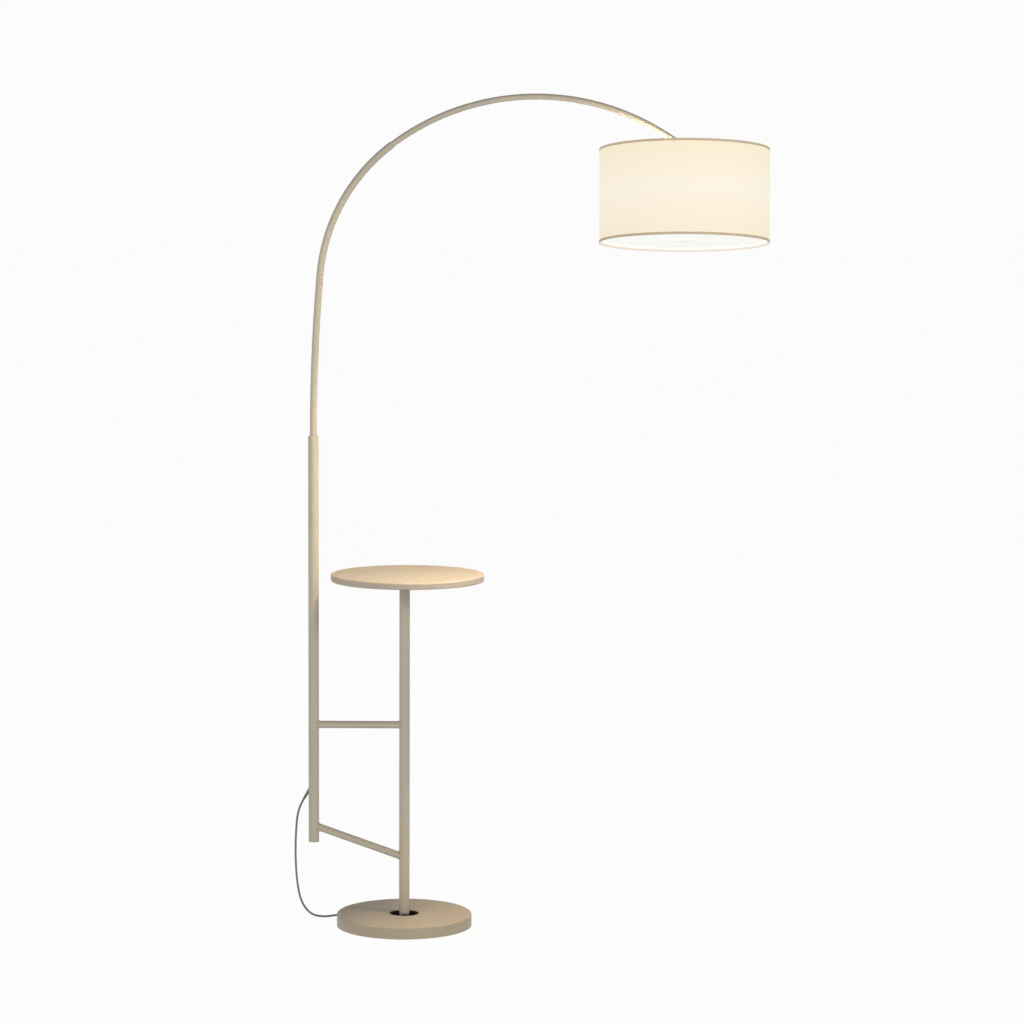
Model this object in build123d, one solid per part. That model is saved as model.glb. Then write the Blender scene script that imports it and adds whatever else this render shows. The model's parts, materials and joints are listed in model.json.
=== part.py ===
from build123d import *
from math import atan, cos, degrees, dist, hypot, radians, sin, tan
import os

# Arc floor lamp with a small round table. Sizes are in millimetres.
# The origin is on the floor under the middle of the base, +Z is up, the arc reaches out along +X,
# and the shade is tipped so that its underside turns towards -Y.

# Clearances that mating pieces share
press_gap = 0.05  # pushed, screwed, welded or glued together
turn_gap = 0.06  # radial, a shaft that turns or slides in its bush
seat_gap = 0.3  # faces that pass each other when a joint moves
lead_gap = 0.4  # radial, a lead in the hole that it passes through

# Base
base_diameter = 258
base_height = 24
base_edge_radius = 3
cover_sheet = 1.5
cover_lift = 1  # rim of the cover above the floor
weight_gap = 0.4  # between the weight and the side of the cover
pad_thickness = 2
pad_inset = 5  # edge of the pad inside the edge of the weight
recess_diameter = 56
recess_floor = 11  # height of the weight's floor in the recess
recess_lip = 4  # depth of the cover's turned-down lip
lip_radius = 1
cup_wall = 1.5
cup_set_down = 1  # rim of the recess cup below the top of the base

# Foot of the post
stud_diameter = 12
stud_in_plug = 16
foot_washer_diameter = 25
foot_washer_thickness = 1.5
foot_nut_flats = 18
foot_nut_height = 5
post_standoff = 1  # end of the post's tube above the top of the base
plug_lip = 2.5
plug_lip_radius = 2
plug_length = 22

# Upright tubes and the rungs between them
tube_diameter = 20
tube_wall = 1.2
pole_offset = 173  # from the post's axis to the lamp pole's
pole_foot = 163.5
pole_top = 938.5
rung_diameter = 14
rung_wall = 1.2
upper_rung_height = 388.5
lower_rung_at_pole = 193.5
lower_rung_at_post = 132
cap_flange = 1.5
cap_depth = 12

# Table
table_diameter = 291
table_thickness = 12.5
table_height = 678
table_edge_radius = 2
table_offset = 5.3  # middle of the table past the post's axis
flange_diameter = 90
flange_sheet = 3
collar_wall = 2
collar_depth = 14
screw_circle = 68
screw_count = 4
screw_diameter = 4
screw_head_diameter = 8
screw_head_height = 2.4
screw_depth = 9  # into the table

# Arc, bent from two tubes in the plane of the uprights
arc_tube = 13.4
arc_wall = 1
upper_wall = 1
arc_insert = 165  # length inside the pole
lean_length = 304  # first, nearly straight stretch
lean_turn = 4.8
lower_bend_radius = 342
lower_bend_turn = 48.3
upper_bend_radius = 452.4
upper_bend_turn = 73.4
slip_depth = 40  # length of the upper tube inside the lower one
bush_flange = 1.2
bush_length = 26
lower_bush_cup = 18
lower_bush_floor = 6

# Elbow and tilting swivel at the end of the arc
elbow_wall = 1.5
elbow_radius = 19
elbow_socket = 10
thread_diameter = 9.8
thread_depth = 5
swivel_rise = 17  # from the tilt axis to the end of each half's boss
swivel_disc = 22
swivel_disc_thickness = 9
swivel_boss_wall = 2.2
swivel_pocket = 16
swivel_pocket_depth = 6
swivel_hub = 10
friction_washer = 1
friction_washer_diameter = 20
swivel_edge = 1.5
pivot_screw = 5
pivot_head = 9
pivot_head_height = 3.2
pivot_nut_flats = 8
pivot_nut_height = 5

# Lampholder and its push-through switch bar
holder_diameter = 38
holder_wall = 2.2
cap_height = 26
cap_neck = 16
cap_neck_height = 3
cap_shoulder = 10  # height of the cone between neck and barrel
cap_shoulder_radius = 4
cap_neck_radius = 1.5
body_length = 30
body_spigot = 4
clamp_flange = 4  # width of the flange that the spider hangs under
clamp_flange_height = 2
clamp_flange_drop = 6  # from the top of the body
clamp_ring_wall = 4
clamp_ring_height = 6
clamp_grips = 18
clamp_grip_width = 2.4
insert_thickness = 7
contact_diameter = 8
contact_height = 4
bar_diameter = 7
bar_length = 54
bar_clear = 1  # between the bar and the lampholder's body
bar_travel = 5
head_lead_offset = 9  # beside the switch bar
head_lead_bend = 6

# Bulb
screw_shell = 26.4
screw_shell_length = 20
bulb_tip_height = 2
bulb_globe_diameter = 56
bulb_globe_wall = 1.5
bulb_neck_height = 12  # of the globe above its widest part
bulb_housing_height = 14.7
bulb_housing_hollow = 1.5  # how far its side curves in
bulb_clear = 12  # between the globe and the diffuser's nut

# Shade
shade_diameter = 319
shade_height = 175.6
shade_tilt = 7.5
fabric_thickness = 0.8
trim_height = 4
trim_thickness = 0.5
ring_wire = 4
ring_inset = 3  # middle of each ring from the shade's end
spoke_count = 3
spoke_wire = 4
spider_ring_width = 10
spider_sheet = 2
panel_thickness = 2.5
panel_overlap = 0.5  # past the middle of the ring that carries it
knob_diameter = 52
knob_height = 4
knob_stem = 8
knob_nut_flats = 13
knob_nut_height = 5

# Mains lead. The hank is the length that is put away behind the base.
lead_diameter = 4
boot_height = 260.5
boot_azimuth = 160
boot_droop = 58
boot_root = 6.5
boot_tip = 5
boot_outside = 20
boot_grooves = 5
boot_groove_width = 1.4
boot_groove_depth = 0.5
boot_groove_pitch = 2.8
boot_inside = 6
boot_run = 22  # length of lead that leaves the boot straight
hank_azimuth = 102
hank_reach = 152.5  # from the middle of the base
hank_run = 68
hank_waist = 8  # how far each run is drawn in at the tie
hank_fold = 12  # radius of the innermost fold
hank_loops = 2  # full loops in a layer, besides the innermost run
wind_gap = 0.6  # between neighbouring turns
tie_thickness = 0.6
tie_width = 8
tie_gap = 0.5  # between the tie and the turns
floor_gap = 0.1
plug_length_body = 30
plug_width = 22
plug_height = 11
plug_edge = 3
plug_nose = 12  # width where the lead goes in
plug_taper = 12  # length of the narrowing nose
plug_grips = 4
plug_grip_width = 1.4
plug_grip_depth = 0.8
plug_grip_pitch = 3.2
blade_length = 17
blade_width = 6.3
blade_thickness = 1.5
blade_spacing = 12.7
blade_root = 6  # length held in the plug

# Points that the free lead passes after the boot, chosen by hand, down to the floor and round the base
hanging_points = [
    (-208.0, 13.0, 185.0),
    (-209.5, 15.5, 132.0),
    (-207.0, 19.0, 82.0),
    (-200.0, 25.0, 40.0),
    (-182.0, 38.0, 11.5),
    (-156.0, 58.0, 2.1),
    (-127.0, 82.0, 2.1),
    (-101.0, 102.0, 2.3),
]
hank_lead_in = 20  # straight run into the hank
# Points from the hank to the plug: along the hank, away from the base, and up
tail_points = [(13.0, 0.0, 0.0), (27.0, 0.6, -2.2), (40.0, -5.0, -2.2)]


# Shapes used by several pieces


# A closed outline of radius and height, turned about the Z axis
def turned(outline):
    return revolve(make_face(Plane.XZ * Polyline(*outline, close=True)), Axis.Z)


# A round disc, ring or tube on the Z axis between two heights
def tube(outer, bore, low, high):
    ring = Circle(outer / 2)
    if bore:
        ring -= Circle(bore / 2)
    return Pos(0, 0, low) * extrude(ring, high - low)


# A hexagonal nut on the Z axis between two heights
def hex_nut(flats, bore, low, high):
    face = RegularPolygon(flats / 2, 6, major_radius=False) - Circle(bore / 2)
    return Pos(0, 0, low) * extrude(face, high - low)


# A round bar or tube along a path
def bar(path, outer, bore=0):
    section = Circle(outer / 2)
    if bore:
        section -= Circle(bore / 2)
    return sweep(Plane(path @ 0, z_dir=path % 0) * section, path=path)


# The circular edges of a solid that have this radius and height
def rim(solid, radius, height):
    circles = solid.edges().filter_by(GeomType.CIRCLE)
    return [e for e in circles if hypot(e.radius - radius, e.arc_center.Z - height) < 0.01]


# Lay a Z axis solid along X
def along_x(solid):
    return Rot(0, 90, 0) * solid


nodes = {}


def keep(name, solid):
    nodes[name] = solid


# Base
base_radius = base_diameter / 2
recess_radius = recess_diameter / 2
cover_inside = base_height - cover_sheet
weight_radius = base_radius - cover_sheet - weight_gap
weight_top = cover_inside - press_gap
cup_floor = recess_floor + press_gap + cup_wall
stud_hole = stud_diameter + 2 * press_gap

cover = turned([
    (recess_radius, base_height - recess_lip),
    (recess_radius, base_height),
    (base_radius, base_height),
    (base_radius, cover_lift),
    (base_radius - cover_sheet, cover_lift),
    (base_radius - cover_sheet, cover_inside),
    (recess_radius + cover_sheet, cover_inside),
    (recess_radius + cover_sheet, base_height - recess_lip),
])
cover = fillet(rim(cover, base_radius, base_height), base_edge_radius)
cover = fillet(rim(cover, base_radius - cover_sheet, cover_inside), base_edge_radius - cover_sheet)
cover = fillet(rim(cover, recess_radius, base_height), lip_radius)
keep("base_cover", cover)

weight = turned([
    (stud_hole / 2, pad_thickness),
    (weight_radius, pad_thickness),
    (weight_radius, weight_top),
    (recess_radius + cover_sheet + weight_gap, weight_top),
    (recess_radius + cover_sheet + weight_gap, recess_floor),
    (stud_hole / 2, recess_floor),
])
weight = fillet(rim(weight, weight_radius, weight_top), base_edge_radius)
keep("base_weight", weight)
keep("base_pad", tube(2 * (weight_radius - pad_inset), foot_washer_diameter, 0, pad_thickness))

cup_radius = recess_radius - press_gap
cup = turned([
    (stud_hole / 2, recess_floor + press_gap),
    (cup_radius, recess_floor + press_gap),
    (cup_radius, base_height - cup_set_down),
    (cup_radius - cup_wall, base_height - cup_set_down),
    (cup_radius - cup_wall, cup_floor),
    (stud_hole / 2, cup_floor),
])
keep("recess_cup", cup)

# Foot of the post: a stud from the plug in the post goes through a washer and nut into the weight
washer_top = cup_floor + foot_washer_thickness
nut_top = washer_top + foot_nut_height
post_foot = base_height + post_standoff
stud_top = post_foot + stud_in_plug
tube_bore = tube_diameter - 2 * tube_wall
keep("foot_washer", tube(foot_washer_diameter, stud_hole, cup_floor, washer_top))
keep("foot_nut", hex_nut(foot_nut_flats, stud_hole, washer_top, nut_top))
keep("foot_stud", tube(stud_diameter, 0, pad_thickness + press_gap, stud_top))

foot_plug = turned([
    (stud_hole / 2, post_foot - plug_lip),
    (tube_diameter / 2, post_foot - plug_lip),
    (tube_diameter / 2, post_foot - press_gap),
    (tube_bore / 2 - press_gap, post_foot - press_gap),
    (tube_bore / 2 - press_gap, post_foot + plug_length),
    (0, post_foot + plug_length),
    (0, stud_top + press_gap),
    (stud_hole / 2, stud_top + press_gap),
])
keep("post_foot_plug", fillet(rim(foot_plug, tube_diameter / 2, post_foot - plug_lip), plug_lip_radius))

# Post and table
table_under = table_height - table_thickness
flange_under = table_under - flange_sheet
keep("table_post", tube(tube_diameter, tube_bore, post_foot, flange_under - press_gap))

collar_bore = tube_diameter + 2 * press_gap
flange = tube(flange_diameter, 0, flange_under, table_under)
flange += tube(collar_bore + 2 * collar_wall, collar_bore, flange_under - collar_depth, flange_under)
screw_places = PolarLocations(screw_circle / 2, screw_count, start_angle=45)
screw_hole = screw_diameter + 2 * press_gap
for place in screw_places:
    flange -= place * tube(screw_hole, 0, flange_under, table_under)
keep("table_flange", flange)

screw = tube(screw_diameter, 0, flange_under, table_under + screw_depth)
screw += tube(screw_head_diameter, 0, flange_under - screw_head_height, flange_under)
keep("table_screws", Compound([place * screw for place in screw_places]))

table = Pos(table_offset, 0, 0) * tube(table_diameter, 0, table_under, table_height)
for height in (table_under, table_height):
    table = fillet(rim(table, table_diameter / 2, height), table_edge_radius)
for place in screw_places:
    table -= place * tube(screw_hole, 0, table_under, table_under + screw_depth + press_gap)
keep("table_top", table)

# Lamp pole, with the slanting hole that the boot of the lead goes through
pole_place = Pos(-pole_offset, 0, 0)
out_x = cos(radians(boot_azimuth))
out_y = sin(radians(boot_azimuth))
boot_level = cos(radians(boot_droop))
boot_way = Vector(out_x * boot_level, out_y * boot_level, -sin(radians(boot_droop)))
boot_wall_point = Vector(out_x * tube_diameter / 2 - pole_offset, out_y * tube_diameter / 2, boot_height)
boot_start = boot_wall_point - boot_way * boot_inside
boot_end = boot_wall_point + boot_way * boot_outside
boot_plane = Plane(boot_start, z_dir=boot_way)
boot_length = boot_inside + boot_outside
boot = Cone(boot_root / 2, boot_tip / 2, boot_length, align=(Align.CENTER, Align.CENTER, Align.MIN))
boot_hole = tube(boot_root + 2 * press_gap, 0, 0, boot_length)
for groove in range(boot_grooves):
    low = boot_length - boot_groove_pitch * (groove + 1)
    taper = boot_root + (boot_tip - boot_root) * low / boot_length
    boot -= tube(2 * boot_root, taper - 2 * boot_groove_depth, low, low + boot_groove_width)
keep("cord_boot", boot_plane * boot)

pole = pole_place * tube(tube_diameter, tube_bore, pole_foot, pole_top)
keep("lamp_pole", pole - boot_plane * boot_hole)

end_cap = tube(tube_diameter, 0, pole_foot - cap_flange, pole_foot - press_gap)
end_cap += tube(tube_bore - 2 * press_gap, 0, pole_foot - press_gap, pole_foot + cap_depth)
keep("pole_end_cap", pole_place * end_cap)


# A rung between the uprights, coped to fit round both
def rung(height_at_pole, height_at_post):
    rail = bar(
        Line((-pole_offset, 0, height_at_pole), (0, 0, height_at_post)),
        rung_diameter,
        rung_diameter - 2 * rung_wall,
    )
    for x in (-pole_offset, 0):
        rail -= Pos(x, 0, 0) * tube(tube_diameter + 2 * press_gap, 0, pole_foot - table_height, table_height)
    return rail


keep("upper_rung", rung(upper_rung_height, upper_rung_height))
keep("lower_rung", rung(lower_rung_at_pole, lower_rung_at_post))

# Bushes that the arc turns in
arc_start = pole_top + bush_flange
arc_foot = pole_top - arc_insert
bush_bore = arc_tube + 2 * turn_gap
bush_outside = tube_bore - 2 * press_gap
lead_hole = lead_diameter + 2 * lead_gap
top_bush = tube(tube_diameter, bush_bore, pole_top + press_gap, arc_start)
top_bush += tube(bush_outside, bush_bore, pole_top - bush_length, pole_top + press_gap)
keep("pole_top_bush", pole_place * top_bush)

lower_bush_top = arc_foot + lower_bush_cup
lower_bush_bottom = arc_foot - seat_gap - lower_bush_floor
lower_bush = tube(bush_outside, lead_hole, lower_bush_bottom, lower_bush_top)
lower_bush -= tube(bush_bore, 0, arc_foot - seat_gap, lower_bush_top)
keep("pole_lower_bush", pole_place * lower_bush)

# Arc and elbow. The path is drawn in the plane of the uprights, from the foot inside the pole to the swivel.
arm_plane = Plane(origin=(-pole_offset, 0, 0), x_dir=(1, 0, 0), z_dir=(0, -1, 0))
straight = Line((0, arc_foot), (0, arc_start))
lean = JernArc(straight @ 1, straight % 1, lean_length / radians(lean_turn), -lean_turn)
lower_bend = JernArc(lean @ 1, lean % 1, lower_bend_radius, -lower_bend_turn)
upper_bend = JernArc(lower_bend @ 1, lower_bend % 1, upper_bend_radius, -upper_bend_turn)
elbow_turn = 180 - lean_turn - lower_bend_turn - upper_bend_turn
elbow_bend = JernArc(upper_bend @ 1, upper_bend % 1, elbow_radius, -elbow_turn)


# The last stretch of a bend, of this length
def last_stretch(bend, radius, turn, length):
    back = degrees(length / radius)
    start = 1 - back / turn
    return JernArc(bend @ start, bend % start, radius, -back)


slip = last_stretch(lower_bend, lower_bend_radius, lower_bend_turn, slip_depth)
socket = last_stretch(upper_bend, upper_bend_radius, upper_bend_turn, elbow_socket)
upper_tube = arc_tube - 2 * arc_wall - 2 * press_gap
lower_arc_path = arm_plane * Wire([straight, lean, lower_bend])
upper_arc_path = arm_plane * Wire([slip, upper_bend])
keep("lower_arc", bar(lower_arc_path, arc_tube, arc_tube - 2 * arc_wall))
keep("upper_arc", bar(upper_arc_path, upper_tube, upper_tube - 2 * upper_wall))

elbow_end = (arm_plane * elbow_bend) @ 1
pivot = elbow_end - Vector(0, 0, swivel_rise)
socket_bore = upper_tube + 2 * press_gap
elbow = bar(arm_plane * Wire([socket, elbow_bend]), socket_bore + 2 * elbow_wall)
elbow += Pos(elbow_end) * tube(thread_diameter, 0, -thread_depth, 0)
elbow -= bar(arm_plane * socket, socket_bore)
elbow -= bar(arm_plane * elbow_bend, lead_hole)
elbow -= Pos(elbow_end) * tube(lead_hole, 0, -thread_depth, 0)
keep("arm_elbow", elbow)

# Swivel. Two equal halves face each other across the tilt axis, which runs along X through the pivot.
swivel_split = (friction_washer + seat_gap) / 2
swivel_outside = swivel_split + swivel_disc_thickness
boss_diameter = thread_diameter + 2 * press_gap + 2 * swivel_boss_wall


# One half with its boss upwards and its disc on the -X side
def swivel_half():
    boss = tube(boss_diameter, 0, 0, swivel_rise - press_gap)
    boss -= Pos(-swivel_split, 0, 0) * Box(
        swivel_disc,
        swivel_disc,
        swivel_disc / 2 + seat_gap,
        align=(Align.MIN, Align.CENTER, Align.MIN),
    )
    disc = tube(swivel_disc, 0, -swivel_outside, -swivel_split)
    disc = fillet(rim(disc, swivel_disc / 2, -swivel_outside), swivel_edge)
    half = along_x(disc) + boss
    half -= along_x(tube(swivel_pocket, swivel_hub, -swivel_split - swivel_pocket_depth, -swivel_split))
    half -= along_x(tube(pivot_screw + 2 * turn_gap, 0, -swivel_outside, -swivel_split))
    thread_end = swivel_rise - thread_depth - press_gap
    half -= tube(thread_diameter + 2 * press_gap, 0, thread_end, swivel_rise)
    pocket_middle = (swivel_pocket + swivel_hub) / 4
    passage = Line((0, 0, thread_end), (-swivel_split - swivel_pocket_depth / 2, 0, pocket_middle))
    half -= bar(passage, lead_hole)
    return half


# Place a piece of the tilting head, drawn upright about the pivot
def tip(solid):
    return Pos(pivot) * Rot(-shade_tilt, 0, 0) * solid


keep("swivel_upper", Pos(pivot) * swivel_half())
keep("swivel_lower", tip(Rot(0, 180, 0) * swivel_half()))

pivot_hole = pivot_screw + 2 * press_gap
washer_face = swivel_split - seat_gap
nut_face = swivel_outside + seat_gap
nut_end = nut_face + pivot_nut_height
friction = tube(friction_washer_diameter, pivot_hole, -swivel_split, washer_face)
keep("swivel_washer", Pos(pivot) * along_x(friction))
head_face = -swivel_outside - pivot_head_height
screw_head = tube(pivot_head, 0, head_face, -swivel_outside)
screw_head = fillet(rim(screw_head, pivot_head / 2, head_face), pivot_head_height / 2)
pivot_bolt = screw_head + tube(pivot_screw, 0, -swivel_outside, nut_end)
keep("swivel_screw", Pos(pivot) * along_x(pivot_bolt))
keep("swivel_nut", Pos(pivot) * along_x(hex_nut(pivot_nut_flats, pivot_hole, nut_face, nut_end)))

# Lampholder, hung from the lower half of the swivel. Heights run downwards from the pivot.
holder_radius = holder_diameter / 2
cap_top = -swivel_rise
cap_end = cap_top - cap_height
body_end = cap_end - body_length
nipple_hole = thread_diameter + 2 * press_gap
nipple_end = cap_top - thread_depth
keep("holder_nipple", tip(tube(thread_diameter, lead_hole, nipple_end, cap_top + thread_depth)))

shoulder = cap_top - cap_neck_height - cap_shoulder
cap_inside = holder_radius - holder_wall
holder_cap = turned([
    (nipple_hole / 2, cap_top),
    (cap_neck / 2, cap_top),
    (cap_neck / 2, cap_top - cap_neck_height),
    (holder_radius, shoulder),
    (holder_radius, cap_end),
    (cap_inside, cap_end),
    (cap_inside, shoulder - holder_wall),
    (cap_neck / 2, nipple_end),
    (nipple_hole / 2, nipple_end),
])
holder_cap = fillet(rim(holder_cap, holder_radius, shoulder), cap_shoulder_radius)
for height in (cap_top, cap_top - cap_neck_height):
    holder_cap = fillet(rim(holder_cap, cap_neck / 2, height), cap_neck_radius)
bar_height = cap_end + body_spigot + bar_clear + bar_diameter / 2
bar_hole = along_x(tube(bar_diameter + 2 * turn_gap, 0, -holder_diameter, holder_diameter))
keep("holder_cap", tip(holder_cap - Pos(0, 0, bar_height) * bar_hole))

flange_top = cap_end - clamp_flange_drop
flange_end = flange_top - clamp_flange_height
spigot_outside = cap_inside - press_gap
body_bore = spigot_outside - holder_wall
holder_body = turned([
    (body_bore, cap_end + body_spigot),
    (spigot_outside, cap_end + body_spigot),
    (spigot_outside, cap_end - press_gap),
    (holder_radius, cap_end - press_gap),
    (holder_radius, flange_top),
    (holder_radius + clamp_flange, flange_top),
    (holder_radius + clamp_flange, flange_end),
    (holder_radius, flange_end),
    (holder_radius, body_end),
    (body_bore, body_end),
])
keep("holder_body", tip(holder_body))

insert_top = cap_end + body_spigot - press_gap
insert_end = insert_top - insert_thickness
contact_end = insert_end - contact_height
insert = tube(2 * (body_bore - press_gap), 0, insert_end, insert_top)
insert += tube(contact_diameter, 0, contact_end, insert_end)
keep("holder_insert", tip(insert))

spider_top = flange_end - press_gap
spider_under = spider_top - spider_sheet
clamp_top = spider_under - press_gap
clamp_bore = holder_diameter + 2 * press_gap
clamp_ring = tube(clamp_bore + 2 * clamp_ring_wall, clamp_bore, clamp_top - clamp_ring_height, clamp_top)
for place in PolarLocations(clamp_bore / 2 + clamp_ring_wall, clamp_grips):
    clamp_ring -= place * tube(clamp_grip_width, 0, clamp_top - clamp_ring_height, clamp_top)
keep("holder_ring", tip(clamp_ring))

# The switch bar rests pushed in from the -X side, so half its travel stands out on the +X side
switch_bar = tube(bar_diameter, 0, -bar_length / 2, bar_length / 2)
for end in (-bar_length / 2, bar_length / 2):
    switch_bar = fillet(rim(switch_bar, bar_diameter / 2, end), bar_diameter / 4)
keep("switch_bar", tip(Pos(bar_travel / 2, 0, bar_height) * along_x(switch_bar)))

# Bulb, screwed up to the lampholder's contact
shell_top = contact_end - press_gap - bulb_tip_height
shell_end = shell_top - screw_shell_length
housing_top = shell_end - press_gap
housing_end = housing_top - bulb_housing_height
globe_radius = bulb_globe_diameter / 2
globe_top = housing_end - press_gap
globe_middle = globe_top - bulb_neck_height
globe_end = globe_middle - globe_radius
neck_radius = (globe_radius**2 - bulb_neck_height**2) ** 0.5
bulb_cap = tube(screw_shell, 0, shell_end, shell_top)
bulb_cap += Pos(0, 0, shell_top) * Cone(
    screw_shell / 2,
    contact_diameter / 2,
    bulb_tip_height,
    align=(Align.CENTER, Align.CENTER, Align.MIN),
)
keep("bulb_cap", tip(bulb_cap))

housing_side = ThreePointArc(
    (screw_shell / 2, housing_top),
    ((screw_shell / 2 + neck_radius) / 2 - bulb_housing_hollow, (housing_top + housing_end) / 2),
    (neck_radius, housing_end),
)
housing_back = Polyline(
    (neck_radius, housing_end),
    (0, housing_end),
    (0, housing_top),
    (screw_shell / 2, housing_top),
)
housing = revolve(make_face(Plane.XZ * Wire([housing_side, *housing_back.edges()])), Axis.Z)
keep("bulb_housing", tip(housing))


# The cut-off ball of this radius that fills or hollows the globe
def globe_ball(radius):
    mouth = (radius**2 - bulb_neck_height**2) ** 0.5
    side = ThreePointArc((0, globe_middle - radius), (radius, globe_middle), (mouth, globe_top))
    back = Polyline((mouth, globe_top), (0, globe_top), (0, globe_middle - radius))
    return revolve(make_face(Plane.XZ * Wire([side, *back.edges()])), Axis.Z)


keep("bulb_globe", tip(globe_ball(globe_radius) - globe_ball(globe_radius - bulb_globe_wall)))

# Shade: two wire rings and a spider carry the drum, and the lower ring carries the diffuser.
# Its lower end is set by the bulb, which hangs clear of the diffuser's nut.
knob_nut_top = globe_end - bulb_clear
panel_top = knob_nut_top - knob_nut_height - press_gap
panel_under = panel_top - panel_thickness
bottom_ring_height = panel_under - press_gap - ring_wire / 2
shade_bottom = bottom_ring_height - ring_inset
shade_top = shade_bottom + shade_height
top_ring_height = shade_top - ring_inset
shade_radius = shade_diameter / 2
shade_inside = shade_radius - fabric_thickness
ring_radius = shade_inside - press_gap - ring_wire / 2
keep("shade_fabric", tip(tube(shade_diameter, 2 * shade_inside, shade_bottom, shade_top)))
top_ring = Pos(0, 0, top_ring_height) * Torus(ring_radius, ring_wire / 2)
keep("shade_top_ring", tip(top_ring))
keep("shade_bottom_ring", tip(Pos(0, 0, bottom_ring_height) * Torus(ring_radius, ring_wire / 2)))


# A tape folded over one end of the drum; inwards is -1 at the top and 1 at the bottom
def trim(end, inwards):
    leg_inside = shade_radius + press_gap
    leg_outside = leg_inside + trim_thickness
    fold = end - inwards * press_gap
    return turned([
        (leg_inside, end + inwards * trim_height),
        (leg_outside, end + inwards * trim_height),
        (leg_outside, fold - inwards * trim_thickness),
        (shade_inside, fold - inwards * trim_thickness),
        (shade_inside, fold),
        (leg_inside, fold),
    ])


keep("shade_top_trim", tip(trim(shade_top, -1)))
keep("shade_bottom_trim", tip(trim(shade_bottom, 1)))

spider_bore = holder_diameter + 2 * press_gap
spider = tube(spider_bore + 2 * spider_ring_width, spider_bore, spider_under, spider_top)
spoke_start = spider_bore / 2 + spider_ring_width - spoke_wire / 2
spoke = bar(Line((0, -spoke_start, spider_top), (0, -ring_radius, top_ring_height)), spoke_wire)
ring_room = Pos(0, 0, top_ring_height) * Torus(ring_radius, ring_wire / 2 + press_gap)
for turn in range(spoke_count):
    spider += Rot(0, 0, turn * 360 / spoke_count) * spoke
keep("shade_spider", tip((spider - ring_room).solids().sort_by(SortBy.VOLUME)[-1]))

stem_hole = knob_stem + 2 * press_gap
keep("diffuser_panel", tip(tube(2 * (ring_radius + panel_overlap), stem_hole, panel_under, panel_top)))
knob_top = panel_under - press_gap
knob = tube(knob_diameter, 0, knob_top - knob_height, knob_top)
knob = fillet(rim(knob, knob_diameter / 2, knob_top - knob_height), knob_height * 0.8)
knob += tube(knob_stem, 0, knob_top, knob_nut_top)
keep("diffuser_knob", tip(knob))
keep("diffuser_nut", tip(hex_nut(knob_nut_flats, stem_hole, panel_top + press_gap, knob_nut_top)))

# A path through hand-chosen points, with each bend as large as its two runs allow
def eased_path(points):
    points = [Vector(*point) for point in points]
    radii = []
    for before, point, after in zip(points, points[1:], points[2:]):
        half_turn = radians((point - before).get_angle(after - point)) / 2
        shorter = min((point - before).length, (after - point).length)
        radii.append(0.45 * shorter / tan(half_turn))
    path = FilletPolyline(*points, radius=radii)
    print("bend radii", [round(radius, 1) for radius in radii], "length", round(path.length, 1))
    return path


# Leads inside the pole, the arc and the head. They stop short of each other where a joint turns.
turn_up = boot_wall_point - boot_way * (tube_diameter / 2 / boot_level)
lead_meet = Vector(-pole_offset, 0, arc_foot - seat_gap)
pole_lead_path = eased_path([boot_start, turn_up, lead_meet])
keep("pole_lead", bar(pole_lead_path, lead_diameter))
lead_end = Line(elbow_bend @ 1, (elbow_bend @ 1) - Vector(0, thread_depth, 0))
arm_lead_path = arm_plane * Wire([straight, lean, lower_bend, upper_bend, elbow_bend, lead_end])
keep("arm_lead", bar(arm_lead_path, lead_diameter))
head_lead_drop = nipple_end - head_lead_bend / 2
head_lead_path = FilletPolyline(
    (0, 0, cap_top + thread_depth),
    (0, 0, head_lead_drop),
    (0, -head_lead_offset, head_lead_drop - head_lead_offset),
    (0, -head_lead_offset, insert_top + press_gap),
    radius=head_lead_bend,
)
keep("head_lead", tip(bar(head_lead_path, lead_diameter)))

# Hank, drawn about its own middle with X along its runs and Y away from the base
hank_angle = radians(hank_azimuth)
hank_plane = Plane(
    (hank_reach * cos(hank_angle), hank_reach * sin(hank_angle), 0),
    x_dir=(sin(hank_angle), -cos(hank_angle), 0),
    z_dir=(0, 0, 1),
)
half_run = hank_run / 2
# Neighbouring turns come closest where they slope in to the tie
hank_step = (lead_diameter + wind_gap) / cos(2 * atan(hank_waist / half_run))
hank_outer = hank_fold + hank_loops * hank_step
bottom_layer = floor_gap + tie_thickness + tie_gap + lead_diameter / 2
top_layer = bottom_layer + lead_diameter + wind_gap

# Each run is a side, the reach of its folds from the middle, and the heights where it starts and ends
spiral = []
for loop in range(hank_loops):
    reach = hank_outer - loop * hank_step
    spiral += [(-1, reach), (1, reach)]
spiral.append((-1, hank_fold))
runs = [(side, reach, bottom_layer, bottom_layer) for side, reach in spiral]
runs.append((1, hank_fold, bottom_layer, top_layer))
runs += [(side, reach, top_layer, top_layer) for side, reach in reversed(spiral)]

# Shares of a run's length, of its drawing in and of its climb
run_shares = [(0, 0, 0), (0.25, 0.5, 0.125), (0.5, 1, 0.5), (0.75, 0.5, 0.875), (1, 0, 1)]
turn_points = []
for side, reach, low, high in runs:
    for along, drawn, climb in run_shares:
        x = side * (half_run - along * hank_run)
        turn_points.append((x, side * (reach - drawn * hank_waist), low + climb * (high - low)))

hank_start = (-half_run - lead_diameter, -hank_outer, bottom_layer)
hank_end = (half_run + lead_diameter, -hank_outer, top_layer)
hank_edges = [Line(hank_start, turn_points[0])]
for point in turn_points[1:]:
    hank_edges.append(TangentArc(hank_edges[-1] @ 1, point, tangent=hank_edges[-1] % 1))
hank_edges.append(Line(hank_edges[-1] @ 1, hank_end))
hank_path = Wire(hank_edges)
keep("cord_hank", hank_plane * bar(hank_path, lead_diameter))

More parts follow.
